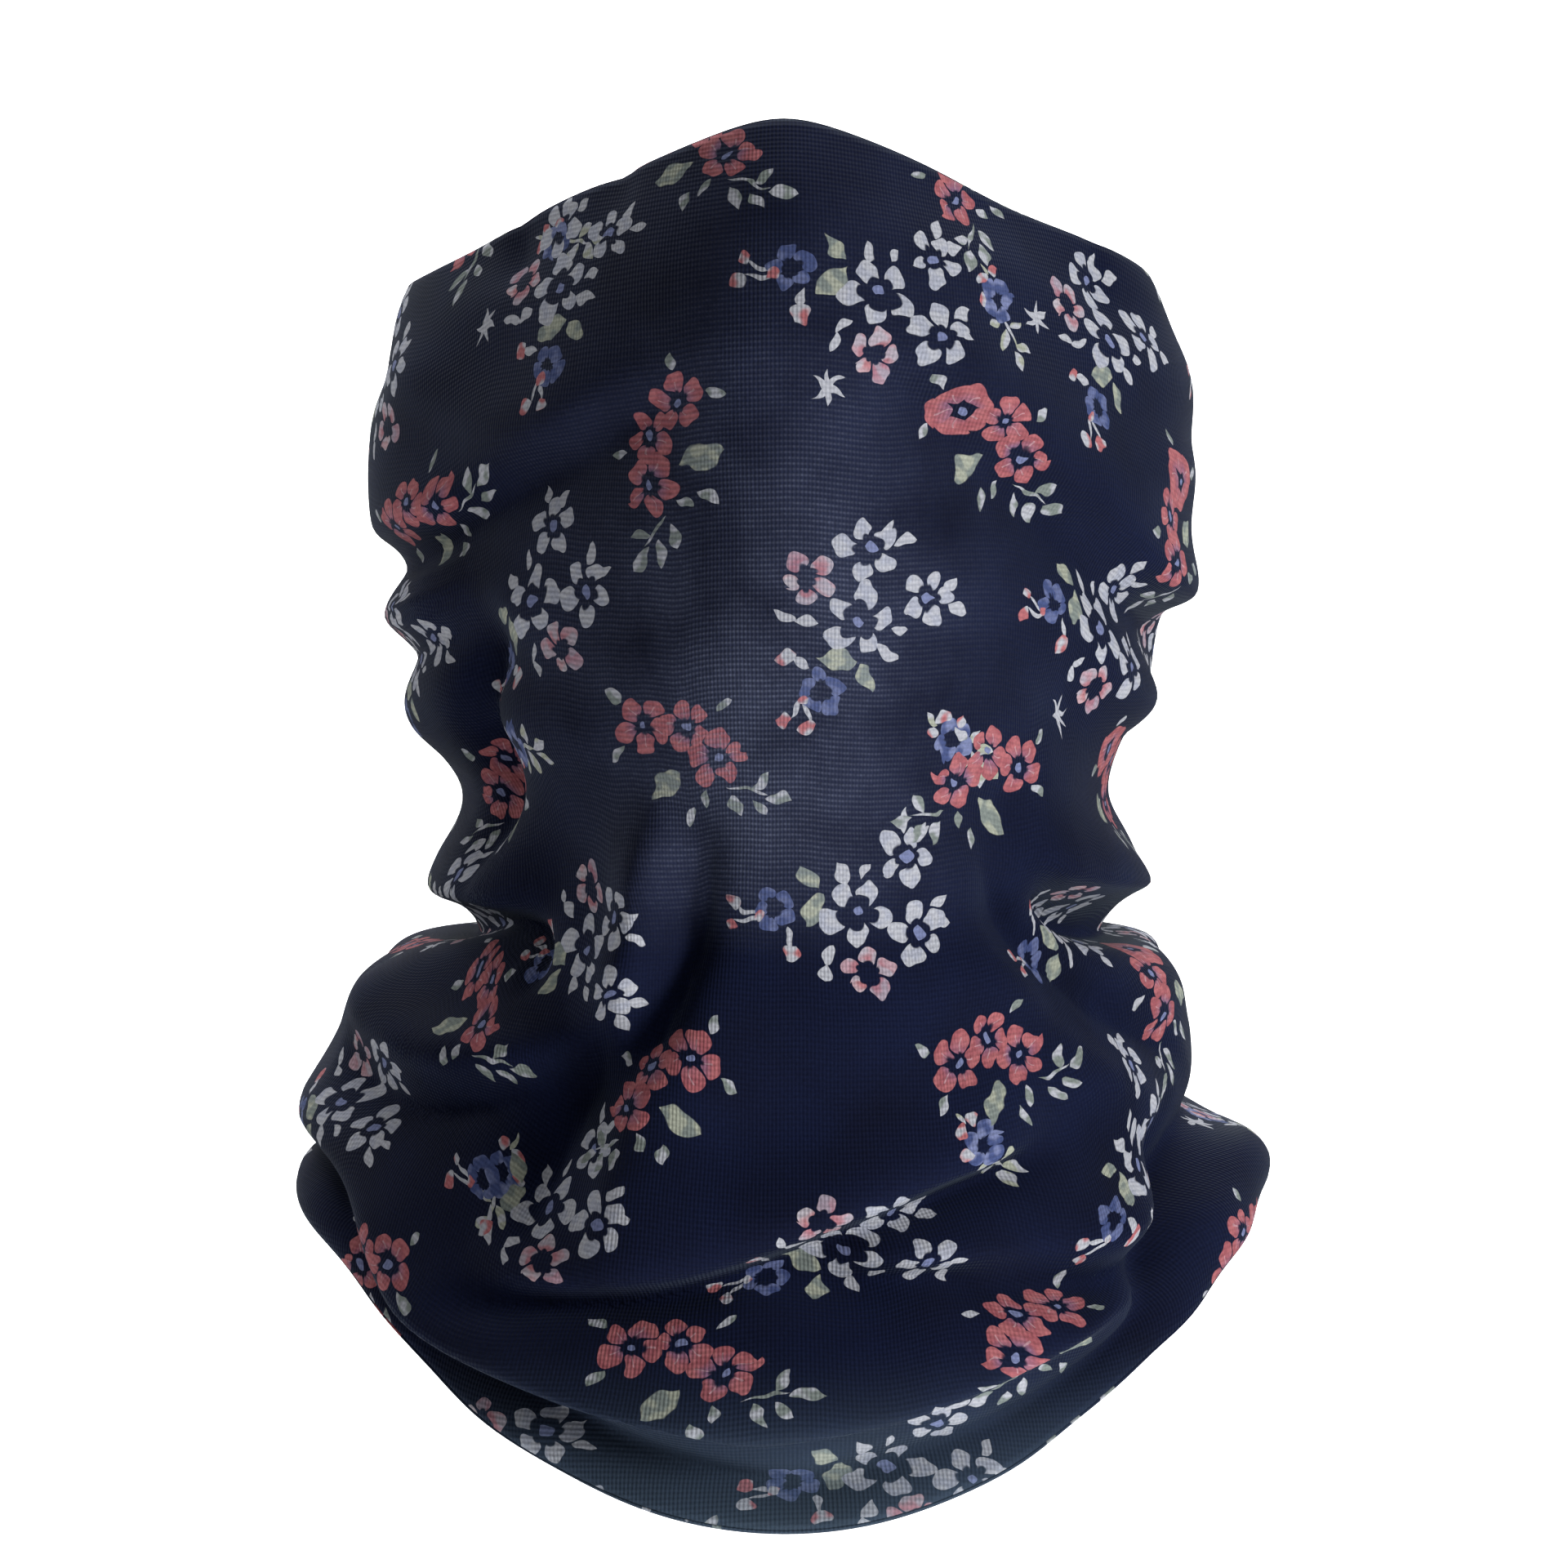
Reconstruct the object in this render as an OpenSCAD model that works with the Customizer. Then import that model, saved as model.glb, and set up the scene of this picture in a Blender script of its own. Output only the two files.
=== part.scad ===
// Neck gaiter, shown as it is worn: from the bridge of the nose, round the neck and out over the
// collar bones. Front towards -Y, up +Z, origin in the middle of the neck passage.

/* [Worn shape] */
// Width across the cheeks and ears
cheek_w = 165; // [150:1:180]
// Narrowest width, where the cloth is drawn in at the neck
neck_w = 126; // [116:1:136]
// Widest width, over the collar bones
collar_w = 196; // [186:1:212]
// Height of the face edge above the neck, at the bridge of the nose
bridge_z = 143; // [136:1:150]
// Height of the face edge above the neck, over the ears
ear_z = 114; // [108:1:120]
// Depth of the lower edge below the neck, on the breast bone
chest_drop = 126; // [118:1:134]
// Reach of the cloth in front of the neck's middle, at the tip of the nose
nose_reach = 112; // [104:1:120]
// Reach of the cloth behind the neck's middle, at the back of the head
head_reach = 90; // [82:1:98]

/* [Cloth] */
// Thickness of the jersey, with its loft
cloth = 0.9; // [0.6:0.1:1.2]
// Depth of the cloth turned in at each edge
hem_depth = 9; // [7:0.5:10]
// Width of the seam allowance inside the centre back
seam_w = 7; // [5:0.5:9]
// Width of the overlock stitching that binds a cut edge
overlock_w = 3; // [2:0.5:4]

/* [Care label] */
// Length of the folded ribbon, out from the seam
label_len = 22; // [15:1:30]
// Height of the ribbon
label_h = 16; // [10:1:18]

/* [Hidden] */

navy = "#1d2133";
pale_side = "#8d93a3";
thread_navy = "#2a3045";
ribbon_white = "#e6e6e2";

// Clear air between plies that lie on each other
air = 0.3;
// Thickness of a line of overlock thread
thread = 0.5;
// Thickness of the folded label ribbon
ribbon = 0.5;
// Columns of cloth facets round the tube
columns = 48;
// Rows of cloth facets from one girth to the next
rows_per_girth = 2;

cheek = cheek_w / 2;
neck = neck_w / 2;
collar = collar_w / 2;
chest = chest_drop;

// Girths of the cloth from the face edge down. Each one is the height at the front, side and back,
// the half width, the reach to the front and back, and how pointed the front is.
girths = [
    [bridge_z,      ear_z,      ear_z - 8,  cheek - 7,   nose_reach - 19, head_reach - 2,  1.3],
    [bridge_z - 18, ear_z - 14, 91,         cheek - 1,   nose_reach - 6,  head_reach,      1.4],
    [102,           82,         76,         cheek,       nose_reach,      head_reach - 3,  1.4],
    [82,            68,         64,         cheek - 1,   nose_reach - 5,  head_reach - 7,  1.0],
    [62,            54,         53,         cheek - 1,   nose_reach - 9,  head_reach - 12, 0.8],
    [42,            40,         43,         cheek - 5,   nose_reach - 14, head_reach - 12, 0.6],
    [26,            26,         33,         cheek - 9,   nose_reach - 19, head_reach - 15, 0.4],
    [12,            14,         24,         neck,        nose_reach - 25, head_reach - 20, 0.3],
    [-4,            4,          14,         neck + 8,    nose_reach - 30, head_reach - 15, 0.2],
    [-20,           -5,         4,          neck + 10.5, nose_reach - 32, head_reach - 13, 0],
    [-34,           -12,        -6,         neck + 7,    nose_reach - 33, head_reach - 18, 0],
    [-48,           -23,        -17,        collar - 16, nose_reach - 33, head_reach - 8,  0],
    [-64,           -34,        -29,        collar - 10, nose_reach - 31, head_reach - 3,  0],
    [-79,           -43,        -39,        collar - 6,  nose_reach - 26, head_reach - 1,  0],
    [-94,           -50,        -46,        collar - 1,  nose_reach - 16, head_reach,      0],
    [4 - chest * 0.9, -55,      -53,        collar,      nose_reach - 13, head_reach - 1,  0],
    [3 - chest * 0.97, -60,     -59,        collar,      nose_reach - 16, head_reach - 2,  0],
    [-chest,        -65,        -65,        collar,      nose_reach - 21, head_reach - 4,  0],
];
last = len(girths) - 1;

// A value of column c, eased from one girth to the next as a spline through all of them
function held(i) = max(0, min(last, i));
function spline(a, b, c, d, f) =
    b + f / 2 * (c - a + f * (2 * a - 5 * b + 4 * c - d + f * (3 * (b - c) + d - a)));
function eased(t, c) = let (i = min(floor(t), last - 1))
    spline(girths[held(i - 1)][c], girths[i][c], girths[i + 1][c], girths[held(i + 2)][c], t - i);

// Height at girth t and turn a, where a = 0 faces the front. The face edge falls away in straight
// lines from the bridge of the nose, and the lower edge hangs in a round bow.
function straight_fall(a) = 1 - sqrt(pow(sin(a), 2) * 0.98 + 0.02);
function front_share(t, a) = cos(a) <= 0 ? 0
    : (1 - t / last) * straight_fall(a) / straight_fall(0) + t / last * pow(cos(a), 1 + 0.8 * t / last);
function back_share(a) = cos(a) >= 0 ? 0 : -cos(a);
function height(t, a) = eased(t, 1)
    + (eased(t, 0) - eased(t, 1)) * front_share(t, a)
    + (eased(t, 2) - eased(t, 1)) * back_share(a);

// A point of the cloth at girth t and turn a, set inwards by s from the outer face
function reach(t, a, s) = cos(a) >= 0
    ? -(eased(t, 4) - s) * pow(cos(a), 1 + eased(t, 6) * pow(cos(a), 2))
    : -(eased(t, 5) - s) * cos(a);
function cloth_point(t, a, s) = [(eased(t, 3) - s) * sin(a), reach(t, a, s), height(t, a)];

// The girth that lies at height z down the centre back
function girth_at(z) = lookup(z, [for (i = [0 : last]) [girths[i][2], i]]);
// Where a depth in millimetres ends, below the face edge or above the lower edge
function below_top(depth, a) = depth / (height(0, a) - height(1, a));
function above_bottom(depth, a) = last - depth / (height(last - 1, a) - height(last, a));
// The turn of a point of the back that is x away from the seam at girth t
function turn_from_seam(x, t) = 180 - asin(x / eased(t, 3));

// One closed ply over a grid of points. outer and inner are its rows of points from the top down,
// and a ring joins its last column to its first.
module ply(outer, inner, ring = true) {
    rows = len(outer);
    cols = len(outer[0]);
    skin = rows * cols;
    steps = ring ? cols - 1 : cols - 2;
    function at(i, j) = i * cols + j % cols;
    function quad(p, q, r, s) = [[p, q, r], [p, r, s]];
    function wall(p, q) = quad(p, q, q + skin, p + skin);
    outside = [for (i = [0 : rows - 2]) for (j = [0 : steps])
        each quad(at(i, j), at(i + 1, j), at(i + 1, j + 1), at(i, j + 1))];
    inside = [for (f = outside) [f[2] + skin, f[1] + skin, f[0] + skin]];
    top = [for (j = [0 : steps]) each wall(at(0, j), at(0, j + 1))];
    bottom = [for (j = [0 : steps]) each wall(at(rows - 1, j + 1), at(rows - 1, j))];
    ends = ring ? [] : [for (i = [0 : rows - 2]) each concat(
        wall(at(i + 1, 0), at(i, 0)), wall(at(i, cols - 1), at(i + 1, cols - 1)))];
    polyhedron([each each outer, each each inner], concat(outside, inside, top, bottom, ends));
}

turns = [for (j = [0 : columns - 1]) j * 360 / columns];
levels = [for (i = [0 : last * rows_per_girth]) i / rows_per_girth];
hem_rows = [0 : 1 / 3 : 1];

// How far inside the outer face each layer starts
hem_set = cloth + air;
thread_set = hem_set + cloth + air;
seam_set = cloth + air;
seam_plies = 2 * cloth;

// A ring of cloth or thread inside the face edge or the lower edge
module face_edge_ring(d0, d1, set, thick) {
    ply([for (f = hem_rows) [for (a = turns) cloth_point(below_top(d0 + f * (d1 - d0), a), a, set)]],
        [for (f = hem_rows) [for (a = turns)
            cloth_point(below_top(d0 + f * (d1 - d0), a), a, set + thick)]]);
}
module lower_edge_ring(d0, d1, set, thick) {
    ply([for (f = hem_rows) [for (a = turns)
            cloth_point(above_bottom(d1 - f * (d1 - d0), a), a, set)]],
        [for (f = hem_rows) [for (a = turns)
            cloth_point(above_bottom(d1 - f * (d1 - d0), a), a, set + thick)]]);
}

// A strip down the inside of the back, from x0 to x1 beside the seam line
module back_strip(x0, x1, t0, t1, set, thick) {
    steps = ceil((t1 - t0) * rows_per_girth);
    rows = [for (i = [0 : steps]) t0 + i * (t1 - t0) / steps];
    sides = [for (f = [0 : 1 / 3 : 1]) x1 + f * (x0 - x1)];
    ply([for (t = rows) [for (x = sides) cloth_point(t, turn_from_seam(x, t), set)]],
        [for (t = rows) [for (x = sides) cloth_point(t, turn_from_seam(x, t), set + thick)]],
        false);
}

// The printed panel, closed into a tube
module tube_panel() {
    color(navy) ply([for (t = levels) [for (a = turns) cloth_point(t, a, 0)]],
        [for (t = levels) [for (a = turns) cloth_point(t, a, cloth)]]);
}

// The cloth turned in along each edge
module top_hem() {
    color(pale_side) face_edge_ring(0, hem_depth, hem_set, cloth);
}
module bottom_hem() {
    color(pale_side) lower_edge_ring(0, hem_depth, hem_set, cloth);
}

// The overlock stitching that binds each hem's cut edge
module top_hem_thread() {
    color(thread_navy) face_edge_ring(hem_depth - overlock_w, hem_depth, thread_set, thread);
}
module bottom_hem_thread() {
    color(thread_navy) lower_edge_ring(hem_depth - overlock_w, hem_depth, thread_set, thread);
}

// The two joined plies of the centre-back seam, pressed to one side between the hems
seam_top = girth_at(height(0, 180) - hem_depth - 1);
seam_bottom = girth_at(height(last, 180) + hem_depth + 1);
module back_seam_allowance() {
    color(pale_side) back_strip(0, seam_w, seam_top, seam_bottom, seam_set, seam_plies);
}

// The overlock stitching over the free edge of the seam allowance
module back_seam_thread() {
    color(thread_navy) back_strip(seam_w - overlock_w, seam_w, seam_top, seam_bottom,
        seam_set + seam_plies + air, thread);
}

// The folded ribbon caught in the seam, just above the lower hem
label_foot_z = height(last, 180) + hem_depth + 2;
label_head = girth_at(label_foot_z + label_h);
label_foot = girth_at(label_foot_z);
module care_label() {
    color(ribbon_white) back_strip(seam_w + air, seam_w + air + label_len, label_head, label_foot,
        seam_set, ribbon);
}

tube_panel();
top_hem();
bottom_hem();
back_seam_allowance();
top_hem_thread();
bottom_hem_thread();
back_seam_thread();
care_label();
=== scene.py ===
import math

import bpy
import numpy as np
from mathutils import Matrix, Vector


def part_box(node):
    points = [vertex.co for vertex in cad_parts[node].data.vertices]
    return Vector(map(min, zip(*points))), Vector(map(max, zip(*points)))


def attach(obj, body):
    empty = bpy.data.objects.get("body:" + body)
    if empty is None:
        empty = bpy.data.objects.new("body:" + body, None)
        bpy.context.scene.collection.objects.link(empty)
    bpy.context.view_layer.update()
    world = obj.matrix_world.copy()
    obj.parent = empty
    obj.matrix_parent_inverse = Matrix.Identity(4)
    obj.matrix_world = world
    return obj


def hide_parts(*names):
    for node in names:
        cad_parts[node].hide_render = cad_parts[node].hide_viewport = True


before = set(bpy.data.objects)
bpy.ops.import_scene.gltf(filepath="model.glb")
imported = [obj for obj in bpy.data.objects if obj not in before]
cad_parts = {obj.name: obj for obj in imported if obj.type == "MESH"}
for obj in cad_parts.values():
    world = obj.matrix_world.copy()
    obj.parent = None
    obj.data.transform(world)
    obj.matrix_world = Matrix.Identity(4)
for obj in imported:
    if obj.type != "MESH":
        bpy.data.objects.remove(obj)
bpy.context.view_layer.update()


# The camera stands straight in front of the gaiter, a little above its middle, and far enough off
# that the cloth is hardly foreshortened. Sizes in this file are in mm, and MM makes them metres.
MM = 0.001
tube_low, tube_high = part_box("tube_panel")
middle = Vector((0.0, 0.0, (tube_low[2] + tube_high[2]) / 2 + 6 * MM))
camera_distance = 1200 * MM
camera_raise = 35 * MM
view_width = 320 * MM
lens = bpy.data.cameras.new("camera")
lens.sensor_width = 36.0
lens.lens = lens.sensor_width * camera_distance / view_width
camera = bpy.data.objects.new("camera", lens)
camera.location = middle + Vector((0.0, -camera_distance, camera_raise))
camera.rotation_euler = (middle - camera.location).to_track_quat("-Z", "Y").to_euler()
bpy.context.scene.collection.objects.link(camera)
bpy.context.scene.camera = camera


# The tube panel is one piece of printed single jersey, closed into a tube by a seam at the back. It
# is stretched over the nose and cheeks, drawn in at the neck, and spread out over the collar bones.
# The slack cloth lies in gathers at the neck and nape.

# Girths of the cloth from the face edge down, in mm: height at the front, side and back, half
# width to the left and to the right, reach to the front and to the back, and how pointed it is.
girths = np.array([
    [142, 115, 106, 75.5, 75, 93, 87, 1.3],
    [124, 100, 91, 81.5, 81.5, 105, 89, 1.4],
    [102, 83, 77, 82.5, 83, 112, 88, 1.4],
    [82, 68, 64, 80, 82, 107, 83, 1.1],
    [62, 54, 53, 79, 79, 103, 79, 0.9],
    [42, 40, 43, 78, 75, 98, 77, 0.7],
    [26, 27, 33, 75, 72, 93, 74, 0.5],
    [10, 14, 23, 65, 65, 88, 71, 0.35],
    [-6, 3, 13, 66, 67, 84, 73, 0.2],
    [-21, -7, 4, 68, 70, 82, 75, 0.1],
    [-36, -16, -6, 76, 76, 82, 77, 0.1],
    [-51, -25, -17, 85, 81, 83, 81, 0.1],
    [-66, -34, -28, 90, 83, 85, 85, 0.1],
    [-81, -43, -38, 92, 85, 87, 87, 0.1],
    [-95, -50, -46, 93, 89, 90, 88, 0.1],
    [-107, -55, -53, 97.5, 95.5, 90, 88, 0.1],
    [-117, -60.5, -59, 99.5, 98.5, 90, 87, 0.1],
    [-124.5, -65, -65, 99.5, 98.5, 90, 86, 0.1],
])
last_girth = len(girths) - 1
# How blunt the face edge is where it crosses the bridge of the nose
bridge_bluntness = 0.015


def spline_through(values, t):
    # Catmull-Rom through the rows of values, read at positions t
    i = np.clip(np.floor(t).astype(int), 0, len(values) - 2)
    f = (t - i)[..., None]
    a, b, c, d = (values[np.clip(i + k, 0, len(values) - 1)] for k in (-1, 0, 1, 2))
    return b + f / 2 * (c - a + f * (2 * a - 5 * b + 4 * c - d + f * (3 * (b - c) + d - a)))


def smooth_tube(t, turn):
    # The cloth without its folds, at girth t and turn from the front, as points in mm
    row = spline_through(girths, t)
    z_front, z_side, z_back, left, right, front, back, point = np.moveaxis(row, -1, 0)
    sine, cosine = np.sin(turn), np.cos(turn)
    down = t / last_girth
    slope = np.sqrt((1 - bridge_bluntness) * sine ** 2 + bridge_bluntness)
    straight = (1 - slope) / (1 - math.sqrt(bridge_bluntness))
    round_bow = np.clip(cosine, 0, 1) ** (1.0 + 0.8 * down)
    share = np.where(cosine > 0, (1 - down) * straight + down * round_bow, 0.0)
    z = z_side + (z_front - z_side) * share + (z_back - z_side) * np.clip(-cosine, 0, 1)
    x = np.where(sine < 0, left, right) * sine
    ahead = -front * np.clip(cosine, 0, 1) ** (1 + point * np.clip(cosine, 0, 1) ** 2)
    y = np.where(cosine > 0, ahead, -back * cosine)
    return np.stack([x, y, z], -1)


# Each fold is a line on the smooth tube, of (turn in degrees, height in mm) points, with how far
# it stands out, its width to the left and to the right of the line's direction, and how far it
# leans down. A line that runs to the right has the cloth above it on its left.
folds = [
    # small puckers along the face edge
    ([(-25, 142), (-24, 132), (-22, 124)], -1.3, 3, 5, 0),
    ([(-44, 128), (-42, 121), (-39, 112)], -1.4, 5, 4, 0),
    ([(54, 123), (52, 115), (48, 107)], -1.4, 4, 5, 0),
    # tension folds from the sides of the nose, under the cheeks
    ([(8, 104), (20, 86), (38, 67), (57, 53), (78, 47), (100, 44)], -4.2, 5, 8, 0),
    ([(14, 108), (32, 89), (52, 71), (70, 59), (95, 56)], 4.0, 12, 6, 2),
    ([(-115, 54), (-90, 58), (-70, 59), (-43, 71), (-27, 80), (-8, 96)], -4.0, 5, 7, 0),
    ([(-110, 68), (-85, 70), (-60, 72), (-40, 84), (-18, 99)], 3.6, 12, 6, 2),
    # the left cheek's lobes, with fine pleats fanned over the upper one
    ([(-130, 46), (-90, 50), (-68, 52), (-50, 58)], 3.4, 8, 5, 1),
    ([(-120, 37), (-90, 40), (-66, 42), (-46, 50)], -2.6, 4, 5, 0),
    ([(-82, 57), (-70, 56), (-58, 58), (-48, 63)], 1.3, 1.6, 1.6, 0),
    ([(-84, 53), (-70, 52), (-56, 55), (-46, 60)], 1.4, 1.6, 1.6, 0),
    ([(-84, 49), (-70, 48), (-56, 50), (-47, 55)], 1.3, 1.6, 1.6, 0),
    # a soft lobe low on the right cheek
    ([(48, 44), (66, 37), (90, 35), (120, 36)], 2.2, 9, 7, 1),
    ([(40, 34), (56, 26), (76, 24), (100, 26)], -1.8, 5, 6, 0),
    # the groove beside the left jaw
    ([(-44, 54), (-50, 40), (-56, 24), (-61, 8), (-60, -4)], -8.0, 8, 6, 0),
    # the left neck lobe and the crease under it
    ([(-150, 3), (-110, 0), (-80, -2), (-55, -2), (-42, -6)], 7.4, 9, 6, 5),
    ([(-150, -7), (-110, -9), (-80, -9), (-58, -9), (-46, -14), (-43, -26)], -11.0, 4, 5, 0),
    # the right neck lobe and the crease under it
    ([(38, 9), (58, 2), (85, -1), (115, 0), (150, 3)], 8.0, 10, 6, 5),
    ([(44, -4), (60, -9), (85, -10), (115, -9), (150, -7)], -11.0, 4, 5, 0),
    # the long fold that leaves the right neck crease and dies out on the right shoulder
    ([(34, 8), (40, -9), (48, -21), (60, -31), (78, -40)], -5.0, 5, 6, 0),
    ([(28, 0), (34, -18), (42, -32), (54, -44), (70, -53)], 3.0, 5, 9, 1),
    # the left shoulder's curled fold
    ([(-84, -24), (-66, -31), (-48, -36), (-34, -34), (-30, -26)], 6.0, 6, 5, 2),
    ([(-80, -36), (-66, -43), (-54, -47), (-42, -45), (-34, -40)], -6.5, 4, 6, 0),
    # the long crease down from the chin, left of the middle
    ([(-22, 18), (-22, -2), (-23, -16), (-25, -28), (-27, -42)], 8.5, 4, 11, 0),
    ([(-15, 14), (-14, -2), (-16, -17), (-18.5, -31), (-21, -46)], -5.5, 4.5, 4, 0),
    # the chest panel's left edge, turned away from the light under that crease
    ([(-12, -12), (-15.5, -30), (-18, -46), (-20, -62), (-21.5, -80)], 5.0, 18, 6, 0),
    ([(-23, -22), (-28, -38), (-31, -54), (-33, -74)], -8.0, 7, 13, 0),
    # the swag across the chest
    ([(-42, -74), (-20, -74), (-7, -70), (9, -61), (22, -54), (40, -47)], 5.5, 12, 4, 4),
    ([(-46, -79), (-20, -80), (-7, -76.5), (9, -67), (22, -60), (40, -54)], -6.5, 4, 4, 0),
    ([(6, -72), (26, -68), (44, -65), (60, -53)], 5.0, 8, 5, 4),
    ([(-6, -79), (6, -77), (18, -75), (28, -77), (44, -73), (53, -65), (61, -54), (68, -42)],
     -6.5, 3.5, 6, 0),
    # the roll along the bottom, and the lowest layer that shows under it
    ([(-110, -40), (-78, -50), (-62, -62), (-48, -80), (-30, -92), (-10, -99), (0, -100),
      (18, -94), (38, -82), (50, -66), (58, -54)], 6.5, 12, 5, 6),
    ([(-130, -50), (-90, -52), (-72, -57), (-60, -70), (-47, -88), (-30, -99), (-15, -110),
      (0, -116), (10, -113), (28, -103.5), (45, -89), (54, -70), (68, -54), (90, -47),
      (120, -46)], -7.0, 3.5, 6, 0),
]
# Rolls stacked at the nape and behind the ears, set out in the same way
nape_rolls = [
    ([(100, 82), (128, 84), (158, 90), (186, 87), (222, 80), (258, 82)], 5.0, 7, 5, 3),
    ([(102, 73), (135, 74), (165, 80), (195, 77), (228, 71), (256, 72)], -5.5, 4, 4, 0),
    ([(104, 62), (132, 68), (160, 70), (184, 65), (214, 66), (240, 58)], 7.0, 7, 5, 4),
    ([(104, 53), (140, 58), (168, 60), (196, 55), (222, 54), (254, 48)], -7.0, 4, 4, 0),
    ([(108, 44), (142, 46), (170, 52), (200, 46), (226, 44), (252, 38)], 8.0, 7, 5, 4),
    ([(104, 34), (146, 36), (172, 42), (204, 36), (232, 33), (256, 29)], -8.0, 4, 4, 0),
    ([(106, 22), (140, 27), (176, 30), (206, 28), (236, 20), (254, 20)], 8.0, 7, 5, 4),
    ([(104, 13), (150, 16), (182, 21), (206, 18), (232, 11), (256, 11)], -8.0, 4, 4, 0),
    ([(120, 5), (156, 10), (182, 9), (206, 6), (240, 3)], 7.0, 6, 5, 4),
    ([(126, -3), (158, 1), (182, 1), (206, -3), (236, -5)], -6.5, 4, 4, 0),
    ([(100, -20), (142, -15), (176, -13), (208, -18), (260, -23)], 7.0, 7, 5, 4),
    ([(98, -30), (146, -25), (180, -23), (214, -28), (262, -32)], -7.5, 4, 4, 0),
    ([(98, -40), (150, -36), (180, -34), (210, -38), (262, -41)], 4.5, 6, 5, 3),
]
# Turns are laid out flat on a circle of this radius, and each fold dies out over this length
chart_radius = 88.0
end_fade = 24.0


def fold_out(turn_mm, height, line, width_left, width_right, crispness):
    # How strongly a fold acts at each point of the laid-out tube, from 0 to 1
    bends = np.array([(math.radians(a) * chart_radius, z) for a, z in line])
    path = spline_through(bends, np.linspace(0, len(line) - 1, 8 * len(line)))
    best = np.full(turn_mm.shape, 1e9)
    side = np.zeros(turn_mm.shape)
    along = np.zeros(turn_mm.shape)
    run = np.concatenate([[0], np.cumsum(np.linalg.norm(np.diff(path, axis=0), axis=1))])
    for wrap in (-2 * math.pi * chart_radius, 0, 2 * math.pi * chart_radius):
        for k in range(len(path) - 1):
            ax, az = path[k]
            dx, dz = path[k + 1] - path[k]
            px, pz = turn_mm + wrap - ax, height - az
            f = np.clip((px * dx + pz * dz) / (dx * dx + dz * dz), 0, 1)
            gap = np.hypot(px - f * dx, pz - f * dz)
            nearer = gap < best
            best = np.where(nearer, gap, best)
            side = np.where(nearer, dx * pz - dz * px, side)
            along = np.where(nearer, (run[k] + f * (run[k + 1] - run[k])) / run[-1], along)
    width = np.where(side > 0, width_left, width_right)
    to_end = np.minimum(along, 1 - along) * run[-1] / min(end_fade, run[-1] / 2.2)
    taper = np.sin(math.pi / 2 * np.clip(to_end, 0, 1)) ** 1.4
    return np.exp(-(best / width) ** crispness) * taper


columns, rows = 232, 196
fine_rows = 420
turn_grid, t_grid = np.meshgrid(
    np.linspace(-math.pi, math.pi, columns, endpoint=False),
    np.linspace(0, last_girth, fine_rows), indexing="xy")
plain = smooth_tube(t_grid, turn_grid)
step = 1e-3
round_way = smooth_tube(t_grid, turn_grid + step) - plain
down_way = smooth_tube(np.clip(t_grid + step, 0, last_girth - 1e-6), turn_grid) - plain
down_way[-1] = down_way[-2]
outward = np.cross(down_way, round_way)
outward /= np.linalg.norm(outward, axis=-1, keepdims=True)
folded = plain.copy()
for group, roundness in ((folds, 2.0), (nape_rolls, 2.8)):
    for line, stand, width_left, width_right, lean in group:
        share = fold_out(turn_grid * chart_radius, plain[..., 2], line, width_left, width_right,
                         roundness if stand > 0 else 1.4)
        folded += share[..., None] * (stand * outward - np.array([0, 0, lean]))

# Slack cloth ripples a little everywhere but over the nose and mouth
ripple_height = 0.22
chance = np.random.default_rng(11)
calm = np.exp(-(turn_grid / math.radians(34)) ** 2) * np.clip((plain[..., 2] + 40) / 60, 0, 1)
for _ in range(14):
    turns_round, waves_down = chance.integers(-9, 10), chance.uniform(0.12, 0.34)
    ripple = np.sin(turns_round * turn_grid + waves_down * plain[..., 2] + chance.uniform(0, 6.3))
    folded += (ripple_height * (1 - 0.9 * calm) * ripple)[..., None] * outward

# Rows are spaced evenly down each column of the folded cloth
lengths = np.linalg.norm(np.diff(folded, axis=0), axis=-1)
travel = np.vstack([np.zeros(columns), np.cumsum(lengths, axis=0)])
cloth = np.empty((rows, columns, 3))
depth = np.empty((rows, columns))
for j in range(columns):
    spots = np.linspace(0, travel[-1, j], rows)
    depth[:, j] = spots
    for axis in range(3):
        cloth[:, j, axis] = np.interp(spots, travel[:, j], folded[:, j, axis])


def grid_faces(lines, across_count, closed):
    # Quads over a grid of points, each line of which may close on itself
    made = []
    for i in range(lines - 1):
        for j in range(across_count if closed else across_count - 1):
            k = (j + 1) % across_count
            a, b = i * across_count, (i + 1) * across_count
            made.append((a + j, b + j, b + k, a + k))
    return made


mesh = bpy.data.meshes.new("printed_tube")
mesh.from_pydata((cloth.reshape(-1, 3) * MM).tolist(), [], grid_faces(rows, columns, True))
tube = bpy.data.objects.new("printed_tube", mesh)
bpy.context.scene.collection.objects.link(tube)
mesh.polygons.foreach_set("use_smooth", [True] * len(mesh.polygons))
# The flat cloth's own measure in metres: across from the front's middle, and down from the face
# edge. The neck's narrowest line is 200 mm down it all round.
cloth_girth, cloth_length = 0.50, 0.38
neck_height, neck_down = 2.0, 200.0
around = np.linalg.norm(np.roll(cloth, -1, axis=1) - cloth, axis=-1)
across = np.cumsum(around, axis=1) - around
across = across / around.sum(1, keepdims=True)
front_column = columns // 2
across -= across[:, front_column][:, None]
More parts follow.
